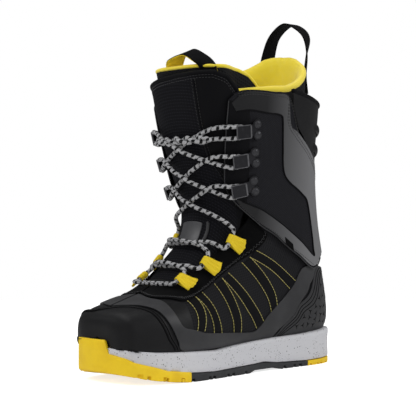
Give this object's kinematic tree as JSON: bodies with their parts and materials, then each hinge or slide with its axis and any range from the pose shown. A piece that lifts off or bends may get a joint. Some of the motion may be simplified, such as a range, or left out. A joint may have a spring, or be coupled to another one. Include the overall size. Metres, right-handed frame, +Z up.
{
  "type": "snowboard boot",
  "caption": "Left lace-up snowboard boot with speed hooks, webbing lace loops, an inner liner, finger pull loops and a cup sole.",
  "frame": {"origin": "centre of the bounding box in plan, on the plane of the tread", "axes": "+Z up, -Y towards the toe, +X towards the outer (lateral) side of the left foot"},
  "size_m": [0.1342, 0.2951, 0.3578],
  "materials": {
    "black_leather": "smooth, semi-matte synthetic leather",
    "ripstop": "woven ripstop with a fine grid",
    "grey_film": "satin thermoplastic film",
    "suede": "matte suede",
    "grey_fabric": "quilted grid-textured fabric with contrast stitching",
    "counter_plastic": "satin moulded plastic",
    "yellow_webbing": "woven webbing",
    "black_webbing": "woven webbing",
    "yellow_rubber": "matte rubber",
    "white_foam": "smooth moulded foam with dark speckles",
    "black_rubber": "matte rubber",
    "board": "pressed fibre board",
    "liner_foam": "mesh-covered foam with a plush lining",
    "lace_cord": "round braided cord",
    "dark_metal": "dark satin coating",
    "steel": "brushed"
  },
  "bodies": {
    "lower": {"midsole": "white_foam", "outsole_toe": "yellow_rubber", "outsole_middle": "black_rubber", "outsole_heel": "yellow_rubber", "shank": "steel", "lasting_board": "board", "footbed": "board", "toe_cap": "black_leather", "vamp": "black_leather", "heel_counter": "counter_plastic", "liner_foot": "liner_foam", "tongue_instep": "ripstop", "flex_plate": "grey_film", "lace": "lace_cord", "quarter_lateral": "grey_fabric", "rand_lateral": "grey_film", "eyestay_lateral": "suede", "lace_loop_lateral_1": "yellow_webbing", "lace_loop_lateral_2": "yellow_webbing", "lace_loop_lateral_3": "yellow_webbing", "quarter_medial": "grey_fabric", "rand_medial": "grey_film", "eyestay_medial": "suede", "lace_loop_medial_1": "yellow_webbing", "lace_loop_medial_2": "yellow_webbing", "lace_loop_medial_3": "yellow_webbing"},
    "cuff": {"tongue_shin": "ripstop", "liner_cuff": "liner_foam", "liner_tongue": "liner_foam", "backstay": "black_leather", "backstay_rib_upper": "black_leather", "backstay_rib_lower": "black_leather", "collar_clip": "steel", "cuff_lateral": "ripstop", "cuff_overlay_lateral": "grey_film", "hook_lateral_1": "dark_metal", "rivet_lateral_1_1": "dark_metal", "rivet_lateral_1_2": "dark_metal", "hook_lateral_2": "dark_metal", "rivet_lateral_2_1": "dark_metal", "rivet_lateral_2_2": "dark_metal", "hook_lateral_3": "dark_metal", "rivet_lateral_3_1": "dark_metal", "rivet_lateral_3_2": "dark_metal", "cuff_medial": "ripstop", "cuff_overlay_medial": "grey_film", "hook_medial_1": "dark_metal", "rivet_medial_1_1": "dark_metal", "rivet_medial_1_2": "dark_metal", "hook_medial_2": "dark_metal", "rivet_medial_2_1": "dark_metal", "rivet_medial_2_2": "dark_metal", "hook_medial_3": "dark_metal", "rivet_medial_3_1": "dark_metal", "rivet_medial_3_2": "dark_metal"},
    "rear_loop": {"rear_pull_loop": "black_webbing"},
    "tongue_loop": {"tongue_pull_loop": "black_webbing"}
  },
  "joints": [
    {"name": "ankle_flex", "type": "hinge", "parent": "lower", "child": "cuff", "pos_m": [0, 0.082, 0.108], "axis": [1, 0, 0], "range_deg": [0, 10], "stiffness_Nm_per_rad": 60, "deforming": ["lace", "tongue_instep", "flex_plate"]},
    {"name": "rear_loop_fold", "type": "hinge", "parent": "cuff", "child": "rear_loop", "pos_m": [-0.036, 0.117, 0.309], "axis": [-0.855, -0.1425, 0.4987], "range_deg": [0, 75], "stiffness_Nm_per_rad": 0.05},
    {"name": "tongue_loop_fold", "type": "hinge", "parent": "cuff", "child": "tongue_loop", "pos_m": [-0.004, -0.047, 0.291], "axis": [0.9933, 0.1132, -0.0251], "range_deg": [-18, 12], "stiffness_Nm_per_rad": 0.03}
  ]
}
